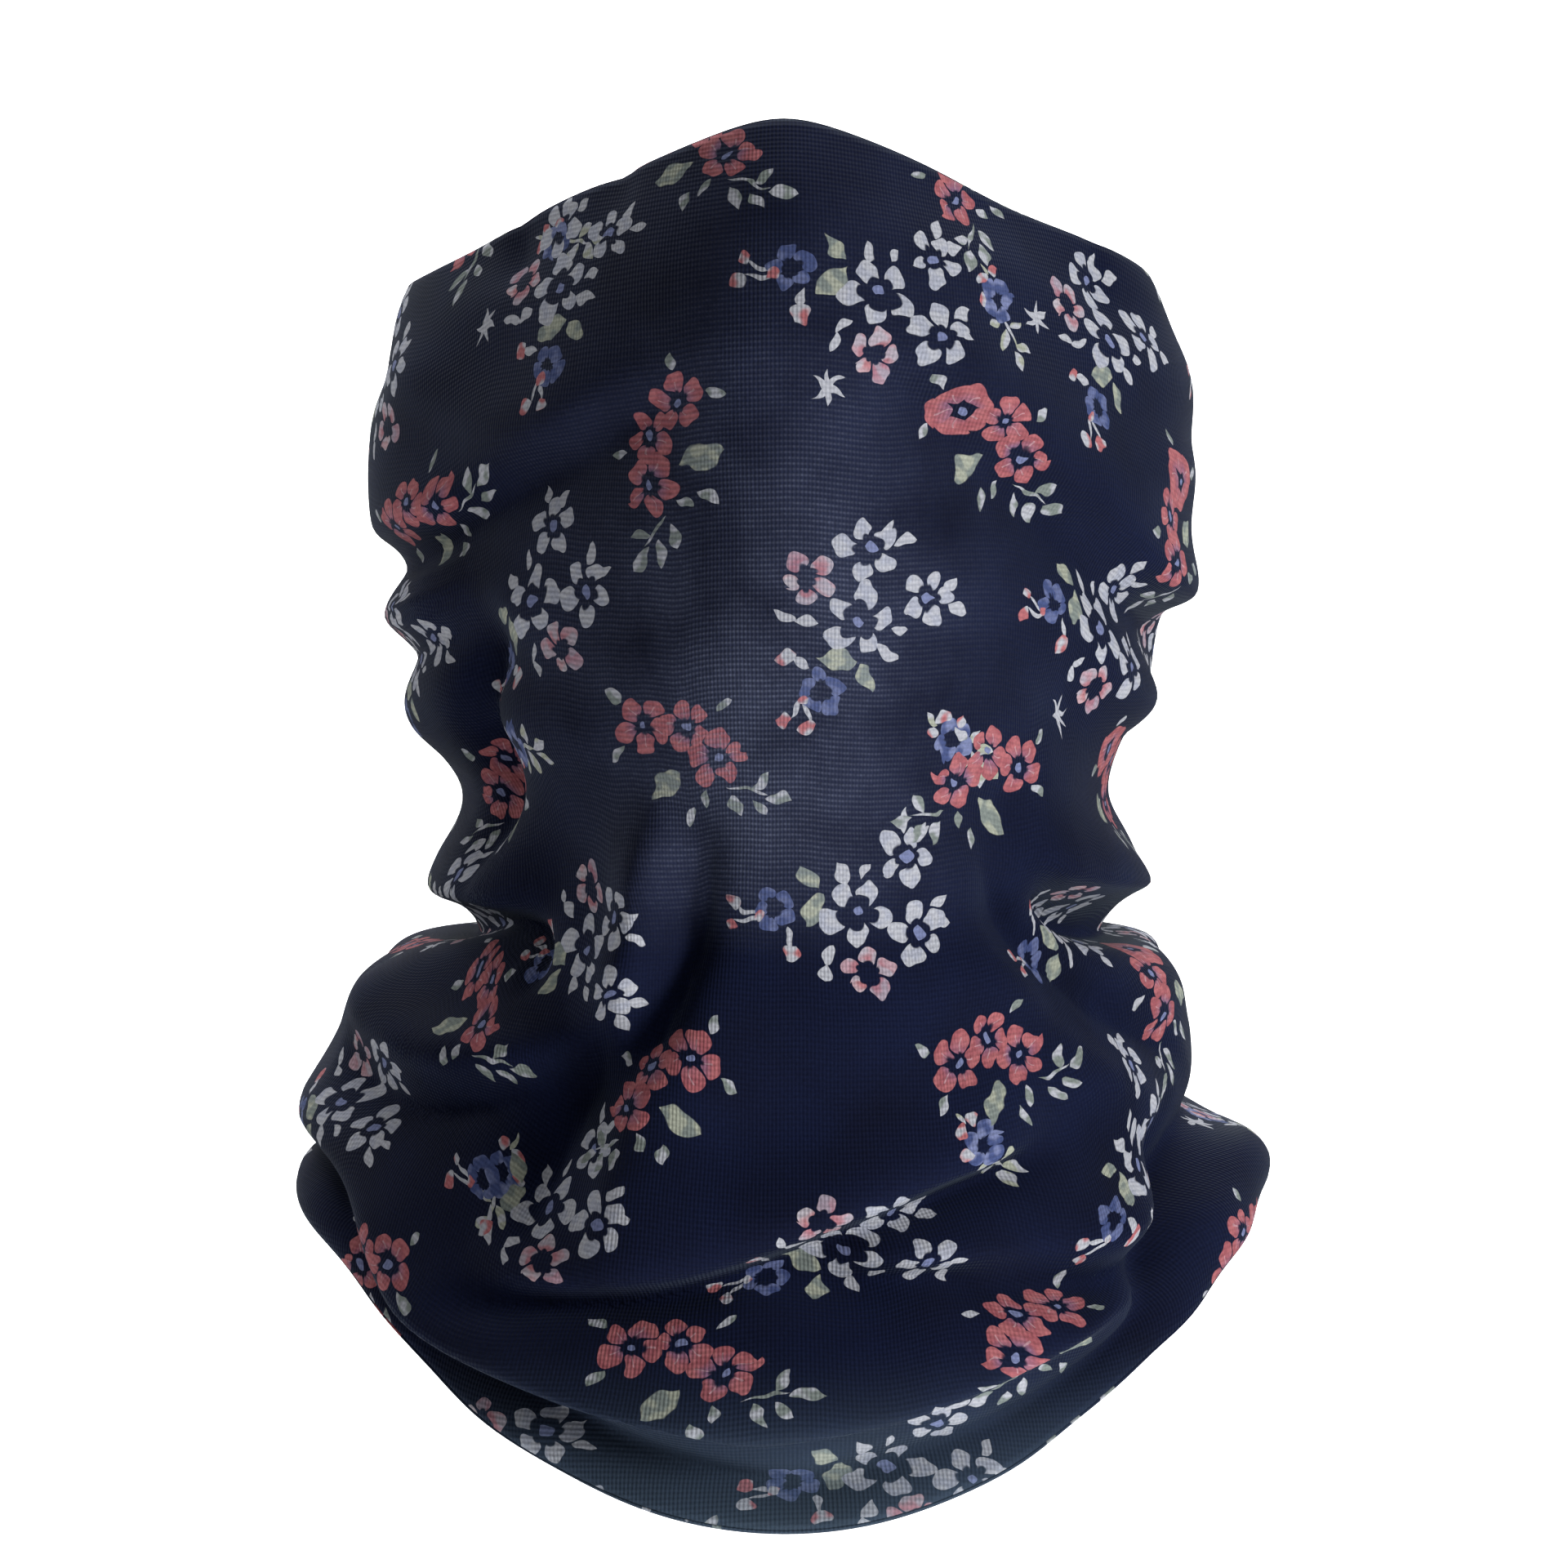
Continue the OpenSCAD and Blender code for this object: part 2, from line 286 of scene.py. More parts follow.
# the pattern follows the cloth in broad, even stretches rather than every small pleat
for _ in range(30):
    across[1:-1] = (across[:-2] + across[1:-1] + across[2:]) / 3
at_neck = np.array([np.interp(-neck_height, -plain[:, j, 2], travel[:, j])
                    for j in range(columns)])
down = depth - at_neck
for _ in range(40):
    down = (np.roll(down, 1, axis=1) + down + np.roll(down, -1, axis=1)) / 3
down = (down + neck_down) * MM
flat_place = np.stack([across * cloth_girth, down], -1)
seam_place = flat_place[:, :1] + np.array([cloth_girth, 0])
flat_place = np.concatenate([flat_place, seam_place], axis=1)

uv = mesh.uv_layers.new(name="cloth")
corners = []
for i in range(rows - 1):
    for j in range(columns):
        corners += [flat_place[i, j], flat_place[i + 1, j], flat_place[i + 1, j + 1],
                    flat_place[i, j + 1]]
uv.data.foreach_set("uv", np.array(corners).ravel())
# How far the knit is stretched open, most of all over the mouth; the same band is a painted
# highlight down the face
taut_and_painted_highlight = np.exp(-((turn_grid[:rows] + 0.08) / math.radians(25)) ** 2) * np.interp(
    cloth[..., 2], [-16, 6, 52, 86, 132], [0, 1, 1, 0.45, 0.15])
mesh.attributes.new("taut_and_painted_highlight", "FLOAT", "POINT").data.foreach_set("value", taut_and_painted_highlight.ravel())


# The print is drawn on the flat cloth, in mm: sprays of small blossoms, leaves and buds, set out in
# three staggered lattices. Every shape is a score that is under 1 inside it.
class Nodes:
    # Adds nodes to one tree; an input is a value or another node's socket
    def __init__(self, tree):
        self.tree = tree

    def add(self, kind, inputs=(), out=0, **settings):
        made = self.tree.nodes.new(kind)
        for name, value in settings.items():
            setattr(made, name, value)
        for key, value in dict(inputs).items():
            if isinstance(value, bpy.types.NodeSocket):
                self.tree.links.new(value, made.inputs[key])
            else:
                made.inputs[key].default_value = value
        return made.outputs[out]

    def math(self, operation, *values):
        return self.add("ShaderNodeMath", enumerate(values), operation=operation)

    def vector(self, operation, *values):
        out = "Value" if operation in ("DOT_PRODUCT", "LENGTH", "DISTANCE") else "Vector"
        return self.add("ShaderNodeVectorMath", enumerate(values), out, operation=operation)

    def scaled(self, vector, factor):
        return self.add("ShaderNodeVectorMath", {0: vector, "Scale": factor}, "Vector",
                        operation="SCALE")

    def mixed(self, share, below, above):
        return self.add("ShaderNodeMix", {0: share, 6: below, 7: above}, 2, data_type="RGBA")

    def inside(self, score, soft=0.07):
        # 1 where the score is under 1, with a slightly bled edge
        return self.add("ShaderNodeMapRange", {"Value": score, "From Min": 1 + soft,
                        "From Max": 1 - soft}, "Result", interpolation_type="SMOOTHSTEP")

    def least(self, scores):
        total = scores[0]
        for score in scores[1:]:
            total = self.math("MINIMUM", total, score)
        return total

    def noise(self, place, scale, detail=0.0, out="Fac"):
        return self.add("ShaderNodeTexNoise", {"Vector": place, "Scale": scale,
                        "Detail": detail}, out, noise_dimensions="2D")

    def apart(self, vector):
        # A vector's parts, by the names X, Y and Z
        made = self.tree.nodes.new("ShaderNodeSeparateXYZ")
        self.tree.links.new(vector, made.inputs[0])
        return made.outputs

    def use(self, group, inputs):
        # A group's outputs, from its inputs by name
        made = self.tree.nodes.new("ShaderNodeGroup")
        made.node_tree = group
        for key, value in inputs.items():
            if isinstance(value, bpy.types.NodeSocket):
                self.tree.links.new(value, made.inputs[key])
            else:
                made.inputs[key].default_value = value
        return made.outputs


def shader_group(name, inputs, outputs):
    # A new group with the named sockets, as its nodes, its input sockets and its output node
    tree = bpy.data.node_groups.new(name, "ShaderNodeTree")
    for label, kind in inputs:
        tree.interface.new_socket(label, in_out="INPUT", socket_type="NodeSocket" + kind)
    for label, kind in outputs:
        tree.interface.new_socket(label, in_out="OUTPUT", socket_type="NodeSocket" + kind)
    entry = tree.nodes.new("NodeGroupInput")
    leave = tree.nodes.new("NodeGroupOutput")
    return Nodes(tree), entry.outputs, leave.inputs


# A leaf, bud or stem: a pointed or round-ended shape about a middle
n, given, result = shader_group("leaf_shape", [("Place", "Vector"), ("Middle", "Vector"),
                                               ("Along", "Vector"), ("Over", "Vector")],
                                [("Score", "Float")])
local = n.vector("SUBTRACT", given["Place"], given["Middle"])
lengthwise = n.vector("DOT_PRODUCT", local, given["Along"])
crosswise = n.math("ABSOLUTE", n.vector("DOT_PRODUCT", local, given["Over"]))
n.tree.links.new(n.math("MULTIPLY_ADD", lengthwise, lengthwise, crosswise), result["Score"])
leaf_shape = n.tree

# A five-petalled blossom: petals about a ring, each cut by a notch that faces the middle
n, given, result = shader_group("blossom_shape", [
    ("Place", "Vector"), ("Middle", "Vector"), ("Radius", "Float"), ("Turn", "Float"),
    ("Seed", "Float"), ("Petal", "Float"), ("Notch", "Float")],
    [("Score", "Float"), ("From middle", "Float"), ("Petal number", "Float"), ("Sector", "Float")])
local = n.vector("SUBTRACT", given["Place"], given["Middle"])
parts = n.apart(local)
angle = n.math("ADD", n.math("ARCTAN2", parts["Y"], parts["X"]), given["Turn"])
number = n.math("FLOOR", n.math("MULTIPLY", angle, 5 / (2 * math.pi)))
sector = n.math("PINGPONG", angle, math.pi / 5)
sector = n.math("SUBTRACT", math.pi / 5, sector)
pick = n.add("ShaderNodeCombineXYZ", {0: number, 1: given["Seed"]})
chance = n.add("ShaderNodeTexWhiteNoise", {"Vector": pick}, "Value", noise_dimensions="2D")
radius = n.math("MULTIPLY", given["Radius"], n.math("MULTIPLY_ADD", chance, 0.26, 0.84))
share = n.math("DIVIDE", n.vector("LENGTH", local), radius)
outwards = n.math("MULTIPLY", share, n.math("COSINE", sector))
sideways = n.math("MULTIPLY", share, n.math("SINE", sector))
side_part = n.math("DIVIDE", sideways, given["Petal"])
side_part = n.math("MULTIPLY", side_part, side_part)
out_part = n.math("DIVIDE", n.math("SUBTRACT", outwards, 0.66), 0.34)
petal = n.math("MULTIPLY_ADD", out_part, out_part, side_part)
notch_out = n.math("SUBTRACT", outwards, 0.30)
notch = n.math("MULTIPLY_ADD", notch_out, notch_out, n.math("MULTIPLY", sideways, sideways))
notch = n.math("SUBTRACT", n.math("ADD", 1.0, given["Notch"]), n.math("MULTIPLY", notch, 6.0))
n.tree.links.new(n.math("MAXIMUM", petal, notch), result["Score"])
n.tree.links.new(share, result["From middle"])
n.tree.links.new(chance, result["Petal number"])
n.tree.links.new(sector, result["Sector"])
blossom_shape = n.tree


def srgb(red, green, blue):
    # A display colour from 0 to 255, as the shader's linear colour
    return tuple(c / 12.92 if c < 0.04045 else ((c + 0.055) / 1.055) ** 2.4
                 for c in (red / 255, green / 255, blue / 255)) + (1.0,)


# The print's inks, dark ground first
navy = srgb(14, 22, 50)
deep_navy = srgb(9, 13, 32)
chalk = srgb(164, 166, 174)
cool_grey = srgb(132, 139, 162)
sage = srgb(150, 154, 140)
deep_sage = srgb(116, 124, 120)
coral = srgb(160, 95, 99)
deep_coral = srgb(136, 72, 80)
blush = srgb(176, 146, 152)
mauve = srgb(118, 92, 120)
blue = srgb(62, 73, 114)
pale_blue = srgb(108, 116, 152)


class Sketch:
    # Draws one spray in its own mm: x to the right, y up, turns in degrees
    def __init__(self, nodes, place):
        self.nodes = nodes
        self.place = place

    def leaf(self, x, y, length, turn, width):
        a = math.radians(turn)
        along = (2 / length * math.cos(a), 2 / length * math.sin(a), 0)
        over = (-2 / width * math.sin(a), 2 / width * math.cos(a), 0)
        return self.nodes.use(leaf_shape, {"Place": self.place, "Middle": (x, y, 0),
                                           "Along": along, "Over": over})["Score"]

    def blossom(self, x, y, radius, turn=0.0, petal=0.33, notch=0.25):
        return self.nodes.use(blossom_shape, {
            "Place": self.place, "Middle": (x, y, 0), "Radius": radius,
            "Turn": math.radians(turn), "Seed": x + 3 * y, "Petal": petal, "Notch": notch})


# The pale spray: a blue blossom with buds, sage leaves, three chalk blossoms and a blush one
n, given, result = shader_group("pale_spray", [
    ("Place", "Vector"), ("Ground", "Color"), ("Blotch", "Float"), ("Kind", "Float")],
    [("Color", "Color")])
draw = Sketch(n, given["Place"])
colour = given["Ground"]
white_leaves = [draw.leaf(*spec) for spec in (
    (-18.6, 12.2, 6.5, 150, 1.1), (-17.6, 14.2, 5.0, 120, 1.1), (-13.0, 3.6, 4.8, 60, 1.8),
    (5.2, 10.0, 5.8, 70, 2.9), (10.4, 7.6, 4.2, 30, 2.1), (19.4, -14.2, 4.8, -40, 2.6),
    (21.8, -9.4, 5.0, 12, 2.7), (25.8, 11.6, 5.4, 46, 2.8), (27.4, 5.8, 5.0, -8, 2.6),
    (-7.6, -4.2, 5.0, 200, 2.4), (-10.6, -7.0, 4.4, 240, 2.2))]
colour = n.mixed(n.inside(n.least(white_leaves)), colour, chalk)
# a few of the sprays have a thin star of six petals beside them
star = n.least([draw.leaf(-15.4, -15.6, 8.6, turn, 1.6) for turn in (12, 72, 132)])
star = n.math("MULTIPLY_ADD", n.math("LESS_THAN", given["Kind"], 0.7), 9.0, star)
colour = n.mixed(n.inside(star), colour, chalk)
sage_leaves = [draw.leaf(*spec) for spec in ((-5.2, 6.2, 8.8, 28, 5.0), (-1.8, 12.8, 6.8, 98, 4.2))]
sage_tone = n.mixed(given["Blotch"], sage, deep_sage)
colour = n.mixed(n.inside(n.least(sage_leaves)), colour, sage_tone)
chalk_tone = n.mixed(n.math("MULTIPLY", given["Blotch"], 0.35), chalk, cool_grey)
chalk_blooms = ((3.4, 0.8, 8.8, 12, 0.30, 0.36), (13.6, -12.4, 8.3, 40, 0.31, 0.18),
                (20.4, 4.8, 7.6, 75, 0.31, 0.14))
for spec in chalk_blooms:
    colour = n.mixed(n.inside(draw.blossom(*spec)["Score"]), colour, chalk_tone)
blush_bloom = draw.blossom(-2.2, -12.4, 6.6, -20, 0.34, 0.16)
blush_heart = n.inside(n.math("ADD", blush_bloom["From middle"], 0.3), 0.15)
blush_tone = n.mixed(n.math("MULTIPLY", blush_heart, 0.8), blush, coral)
blush_tone = n.mixed(n.math("MULTIPLY", given["Blotch"], 0.75), blush_tone, chalk)
blush_tone = n.mixed(n.math("MULTIPLY", blush_bloom["Petal number"], 0.5), blush_tone, mauve)
colour = n.mixed(n.inside(blush_bloom["Score"]), colour, blush_tone)
blue_bloom = draw.blossom(-12.4, 11.2, 5.8, 30, 0.42, 0.1)
blue_tone = n.mixed(n.math("MULTIPLY", given["Blotch"], 0.5), blue, pale_blue)
colour = n.mixed(n.inside(blue_bloom["Score"]), colour, blue_tone)
dots = [draw.leaf(x, y, 3.0, 40, 2.7) for x, y, *_ in chalk_blooms]
colour = n.mixed(n.inside(n.least(dots)), colour, pale_blue)
buds = [draw.leaf(*spec) for spec in (
    (-22.8, 13.2, 3.4, 30, 3.6), (-19.4, 17.2, 3.4, 0, 3.4), (-15.0, 0.6, 4.4, 20, 4.0),
    (-16.2, 11.6, 2.8, 0, 2.8))]
bud_tone = n.mixed(given["Blotch"], coral, chalk)
colour = n.mixed(n.inside(n.least(buds)), colour, bud_tone)
n.tree.links.new(colour, result["Color"])
pale_spray = n.tree

# The coral spray: three coral blossoms with a leafy twig, a sage leaf and pale bits of leaf
n, given, result = shader_group("coral_spray", [
    ("Place", "Vector"), ("Ground", "Color"), ("Blotch", "Float"), ("Kind", "Float")],
    [("Color", "Color")])
draw = Sketch(n, given["Place"])
colour = given["Ground"]
pale_leaves = [draw.leaf(*spec) for spec in (
    (-12.5, 10.6, 10.0, 158, 0.9), (-19.6, 14.2, 6.8, 160, 3.0), (-14.2, 15.6, 5.6, 118, 2.8),
    (-16.4, 9.2, 5.8, 215, 2.8), (-9.4, 14.0, 6.0, 100, 3.0), (-2.6, 9.6, 4.6, 60, 2.2),
    (2.4, 12.0, 5.6, 72, 2.6), (12.6, -19.6, 4.4, -60, 2.6), (16.4, -6.4, 5.2, 30, 2.6),
    (-13.0, -9.4, 4.6, 200, 2.4))]
leaf_tone = n.mixed(given["Blotch"], chalk, deep_sage)
colour = n.mixed(n.inside(n.least(pale_leaves)), colour, leaf_tone)
colour = n.mixed(n.inside(draw.leaf(6.0, 3.6, 10.4, 24, 5.8)), colour,
                 n.mixed(given["Blotch"], sage, deep_sage))
full = n.math("GREATER_THAN", given["Kind"], 0.7)
for x, y, radius, turn, fuller in ((-8.2, 1.6, 7.2, 0, 0.0), (-3.2, -8.6, 6.6, 55, 0.0),
                                   (7.2, -11.0, 7.5, 30, 0.22)):
    petal = n.math("MULTIPLY_ADD", full, fuller, 0.37)
    notch = n.math("MULTIPLY_ADD", full, -2.0 * fuller, 0.08)
    bloom = draw.blossom(x, y, radius, turn, petal, notch)
    tone = n.mixed(n.math("MULTIPLY", given["Blotch"], 0.6), coral, deep_coral)
    inner = n.inside(n.math("ADD", bloom["From middle"], 0.45), 0.2)
    tone = n.mixed(n.math("MULTIPLY", inner, bloom["Petal number"]), tone, mauve)
    vein = n.inside(n.math("MULTIPLY", bloom["Sector"], 26.0), 0.4)
    vein = n.math("MULTIPLY", vein, n.math("LESS_THAN", bloom["From middle"], 0.72))
    tone = n.mixed(n.math("MULTIPLY", vein, 0.6), tone, blush)
    colour = n.mixed(n.inside(bloom["Score"]), colour, tone)
    colour = n.mixed(n.inside(draw.leaf(x, y, 2.3, 30, 2.1)), colour, pale_blue)
n.tree.links.new(colour, result["Color"])
coral_spray = n.tree

# The small sprig: a drooping stem of little leaves, a small blue blossom and three buds
n, given, result = shader_group("small_sprig", [
    ("Place", "Vector"), ("Ground", "Color"), ("Blotch", "Float"), ("Kind", "Float")],
    [("Color", "Color")])
draw = Sketch(n, given["Place"])
colour = given["Ground"]
pale_leaves = [draw.leaf(*spec) for spec in (
    (-1.0, 6.6, 6.6, 110, 1.2), (1.6, 8.6, 6.0, 60, 3.0), (-4.2, 10.8, 5.6, 150, 2.8),
    (-1.6, 13.6, 5.4, 96, 2.6), (-3.6, 4.8, 4.6, 210, 2.2), (3.0, 3.6, 4.4, 20, 2.0),
    (3.2, -9.4, 4.0, -70, 1.4))]
colour = n.mixed(n.inside(n.least(pale_leaves)), colour, n.mixed(given["Blotch"], chalk, sage))
bloom = draw.blossom(0.4, -1.6, 5.2, 10, 0.44, 0.05)
colour = n.mixed(n.inside(bloom["Score"]), colour, n.mixed(given["Blotch"], blue, pale_blue))
buds = [draw.leaf(*spec) for spec in (
    (4.4, -6.8, 3.8, 40, 3.6), (0.6, -8.4, 3.4, 0, 3.2), (5.6, -1.6, 3.2, 0, 3.0))]
colour = n.mixed(n.inside(n.least(buds)), colour, n.mixed(given["Blotch"], coral, chalk))
n.tree.links.new(colour, result["Color"])
small_sprig = n.tree

# The whole print: each lattice cell holds one spray, turned, shifted and mirrored by the cell
n, given, result = shader_group("floral_print", [("Cloth place", "Vector")], [("Color", "Color")])
mm_place = n.scaled(given["Cloth place"], 1000.0)
wobble = n.noise(mm_place, 0.30, 0.0, "Color")
wobble = n.vector("SUBTRACT", wobble, (0.5, 0.5, 0.5))
hand_drawn = n.vector("ADD", mm_place, n.scaled(wobble, 1.9))
blotch = n.inside(n.math("MULTIPLY_ADD", n.noise(mm_place, 0.38, 0.0), -1.0, 1.5), 0.12)
colour = n.mixed(n.noise(mm_place, 0.05, 2.0), deep_navy, navy)
for spray, pitch, offset, lean_a, lean_b, wander in (
        (small_sprig, 92.0, (0.10, 0.62), 0.9, -0.6, 26.0),
        (pale_spray, 63.0, (0.32, 0.10), 0.25, 2.3, 10.0),
        (coral_spray, 63.0, (0.82, 0.60), 0.3, -0.5, 10.0)):
    spot = n.vector("ADD", n.scaled(hand_drawn, 1 / pitch), (offset[0], offset[1], 0))
    cell = n.vector("FLOOR", spot)
    local = n.scaled(n.vector("SUBTRACT", n.vector("SUBTRACT", spot, cell), (0.5, 0.5, 0)),
                     pitch * 1.19)
    odd = n.math("PINGPONG", n.vector("DOT_PRODUCT", cell, (1, 1, 0)), 1.0)
    chance = n.add("ShaderNodeTexWhiteNoise", {"Vector": cell}, "Color", noise_dimensions="2D")
    shift = n.scaled(n.vector("SUBTRACT", chance, (0.5, 0.5, 0)), wander)
    mirror = n.add("ShaderNodeCombineXYZ", {0: n.math("MULTIPLY_ADD", odd, -2.0, 1.0), 1: 1.0})
    local = n.vector("MULTIPLY", n.vector("ADD", local, shift), mirror)
    kind = n.vector("DOT_PRODUCT", chance, (0, 0, 1))
    spin = n.math("MULTIPLY_ADD", odd, lean_b - lean_a, lean_a)
    spin = n.math("ADD", spin, n.math("MULTIPLY_ADD", kind, 1.4, -0.7))
    local = n.add("ShaderNodeVectorRotate", {"Vector": local, "Angle": spin}, "Vector",
                  rotation_type="Z_AXIS")
    colour = n.use(spray, {"Place": local, "Ground": colour, "Blotch": blotch,
                           "Kind": kind})["Color"]
n.tree.links.new(colour, result["Color"])
floral_print = n.tree

# The knit's rows of loops and its columns of loops, as two waves from -1 to 1
n, given, result = shader_group("knit_loops", [("Place in mm", "Vector")],
                                [("Rows", "Float"), ("Columns", "Float")])
parts = n.apart(given["Place in mm"])
for axis, pitch, label in (("Y", 1.05, "Rows"), ("X", 0.7, "Columns")):
    wave = n.math("SINE", n.math("MULTIPLY", parts[axis], 2 * math.pi / pitch))
    n.tree.links.new(wave, result[label])
knit_loops = n.tree


def new_material(name):
    # A new material, its nodes and its shader
    made = bpy.data.materials.new(name)
    made.use_nodes = True
    return made, Nodes(made.node_tree), made.node_tree.nodes["Principled BSDF"]


def finish_shader(shader, values):
    # Values that are the same all over, on the shader's own sockets
    for name, value in values.items():
        shader.inputs[name].default_value = value


# Dark navy jersey, matt, with a faint bloom of loose fibres
jersey, n, shader = new_material("printed_jersey")
cloth_place = n.add("ShaderNodeUVMap", out="UV", uv_map="cloth")
printed = n.use(floral_print, {"Cloth place": cloth_place})["Color"]
# where the knit is stretched open over the face, its unprinted yarn shows in fine broken lines;
# this pale band is also a painted highlight over the nose and mouth
mm_place = n.scaled(cloth_place, 1000.0)
loops = n.use(knit_loops, {"Place in mm": mm_place})
gap = n.add("ShaderNodeMapRange", {"Value": loops["Rows"], "From Min": -0.4}, "Result")
patchy = n.add("ShaderNodeMapRange", {"Value": n.noise(mm_place, 0.05, 3.0), "From Min": 0.10,
                                      "From Max": 0.70}, "Result")
broken = n.math("MULTIPLY_ADD", n.noise(mm_place, 0.8, 1.0), 0.9, 0.1)
dashes = n.math("MULTIPLY", n.math("MULTIPLY_ADD", loops["Columns"], 0.30, 0.70), broken)
opened_and_painted_highlight = n.math("MULTIPLY_ADD", n.math("MULTIPLY", gap, dashes), 0.80, 0.20)
pulled_and_painted_highlight = n.add("ShaderNodeAttribute", out="Fac", attribute_name="taut_and_painted_highlight")
opened_and_painted_highlight = n.math("MULTIPLY", n.math("MULTIPLY", opened_and_painted_highlight, patchy), n.math("MULTIPLY", pulled_and_painted_highlight, 0.55))
yarn = n.math("MULTIPLY_ADD", n.noise(mm_place, 1.6, 1.0), 0.5, 0.72)
# the print is painted a little darker along the gaps between the knit's rows, as painted shade in
# those gaps
yarn = n.math("MULTIPLY", yarn, n.math("MULTIPLY_ADD", gap, -0.16, 1.03))
printed = n.vector("MULTIPLY", printed, n.add("ShaderNodeCombineXYZ", {0: yarn, 1: yarn, 2: yarn}))
# pale yarn mixed in, partly real grin-through of the knit and partly a painted highlight
printed = n.mixed(opened_and_painted_highlight, printed, srgb(128, 136, 162))
# the lowest front of the collar is painted paler, a painted glow of light along the bottom edge
height = n.apart(n.add("ShaderNodeTexCoord", out="Object"))["Z"]
painted_light_low_front = n.add("ShaderNodeMapRange", {"Value": height, "From Min": -88 * MM, "From Max": -130 * MM,
                                     "To Max": 0.38}, "Result", interpolation_type="SMOOTHSTEP")
printed = n.mixed(painted_light_low_front, printed, srgb(82, 100, 114))
n.tree.links.new(printed, shader.inputs["Base Color"])
finish_shader(shader, {"Roughness": 0.88, "Specular IOR Level": 0.08, "Sheen Weight": 0.06,
                       "Sheen Roughness": 0.4, "Sheen Tint": (0.62, 0.78, 0.90, 1.0)})
# the loops stand up a little, and the cloth dips along the back seam
knit = n.math("MULTIPLY", n.math("ADD", loops["Rows"], loops["Columns"]), 0.00004)
aside = n.math("ABSOLUTE", n.apart(mm_place)["X"])
from_seam = n.math("SUBTRACT", 1000 * cloth_girth / 2, aside)
seam_groove = n.math("POWER", 2.718, n.math("MULTIPLY", n.math("ABSOLUTE", from_seam), -1.1))
relief = n.math("MULTIPLY_ADD", seam_groove, -0.0009, knit)
bump = n.add("ShaderNodeBump", {"Strength": 0.9, "Distance": 1.0, "Height": relief}, "Normal")
n.tree.links.new(bump, shader.inputs["Normal"])
mesh.materials.append(jersey)

# The print is on one side only, and shows through faintly on the whitish reverse
reverse, n, shader = new_material("jersey_reverse")
cloth_place = n.add("ShaderNodeUVMap", out="UV", uv_map="cloth")
ghost = n.use(floral_print, {"Cloth place": cloth_place})["Color"]
mm_place = n.scaled(cloth_place, 1000.0)
yarn = n.math("MULTIPLY_ADD", n.noise(mm_place, 1.6, 1.0), 0.14, 0.60)
ghost = n.mixed(yarn, ghost, srgb(146, 150, 162))
n.tree.links.new(ghost, shader.inputs["Base Color"])
finish_shader(shader, {"Roughness": 0.9, "Specular IOR Level": 0.15})
loops = n.use(knit_loops, {"Place in mm": mm_place})
relief = n.math("MULTIPLY", n.math("ADD", loops["Rows"], loops["Columns"]), 0.00005)
bump = n.add("ShaderNodeBump", {"Strength": 0.8, "Distance": 1.0, "Height": relief}, "Normal")
n.tree.links.new(bump, shader.inputs["Normal"])
mesh.materials.append(reverse)

thickness = 0.7
wall = tube.modifiers.new("cloth thickness", "SOLIDIFY")
wall.thickness = thickness * MM
wall.offset = -1.0
wall.material_offset = 1
wall.material_offset_rim = 0
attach(tube, "root")
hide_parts("tube_panel")


# The hems are the cloth's own edges, turned in 9 mm at the face and at the collar bones, so that
# their printed side faces the wearer. A blind stitch holds them, and nothing shows on the outside.
hem_depth = 9.0
# How far the strip's middle lies inside the outer face, and where it starts to roll over the edge
hem_inset = 1.25
hem_roll = 0.8
down_way = np.gradient(cloth, axis=0)
round_way = np.roll(cloth, -1, axis=1) - np.roll(cloth, 1, axis=1)
inward = np.cross(round_way, down_way)
inward /= np.linalg.norm(inward, axis=-1, keepdims=True)


def under_cloth(j, far, depth_in):
    # A point that is far mm down column j from the face edge, and depth_in mm inside the outer face
    spot = depth[:, j]
    place = np.array([np.interp(far, spot, cloth[:, j, k]) for k in range(3)])
    way = np.array([np.interp(far, spot, inward[:, j, k]) for k in range(3)])
    return place + depth_in * way / np.linalg.norm(way)


def strip_piece(name, points, faces, flat_uv, material, thick):
    # A thin strip of cloth or ribbon from points in mm, with its flat place for the pattern
    made = bpy.data.meshes.new(name)
    made.from_pydata((np.array(points) * MM).tolist(), [], faces)
    made.polygons.foreach_set("use_smooth", [True] * len(made.polygons))
    layer = made.uv_layers.new(name="cloth")
    loops = np.empty(len(made.loops), dtype=int)
    made.loops.foreach_get("vertex_index", loops)
    layer.data.foreach_set("uv", (np.array(flat_uv) * MM)[loops].ravel())
    made.materials.append(material)
    piece = bpy.data.objects.new(name, made)
    bpy.context.scene.collection.objects.link(piece)
    ply = piece.modifiers.new("thickness", "SOLIDIFY")
    ply.thickness = thick * MM
    ply.offset = 0.0
    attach(piece, "root")
    return piece


def hem(name, from_top):
    # The strip runs from its cut edge up inside the cloth, and rolls over the edge
    points, flat = [], []
    lines = [(far, hem_inset, 0.0) for far in np.linspace(hem_depth, hem_roll, 7)]
    for f in np.linspace(0, 1, 6):
        lines.append((hem_roll - hem_roll * math.sin(f * math.pi / 2), hem_inset - 0.9 * f,
                      0.5 * math.sin(f * math.pi)))
    for far, depth_in, beyond in lines:
        for j in range(columns):
            spot = far if from_top else travel[-1, j] - far
            place = under_cloth(j, spot, depth_in)
            edge = cloth[0, j] - cloth[1, j] if from_top else cloth[-1, j] - cloth[-2, j]
            points.append(place + beyond * edge / np.linalg.norm(edge))
            flat.append(((j / columns - 0.5) * 1000 * cloth_girth,
                         -far if from_top else 1000 * cloth_length + far))
    faces = grid_faces(len(lines), columns, True)
    if not from_top:
        faces = [face[::-1] for face in faces]
    piece = strip_piece(name, points, faces, flat, jersey, thickness)
    return piece


top_hem = hem("face_hem_strip", True)
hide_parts("top_hem")
bottom_hem = hem("collar_hem_strip", False)
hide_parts("bottom_hem")


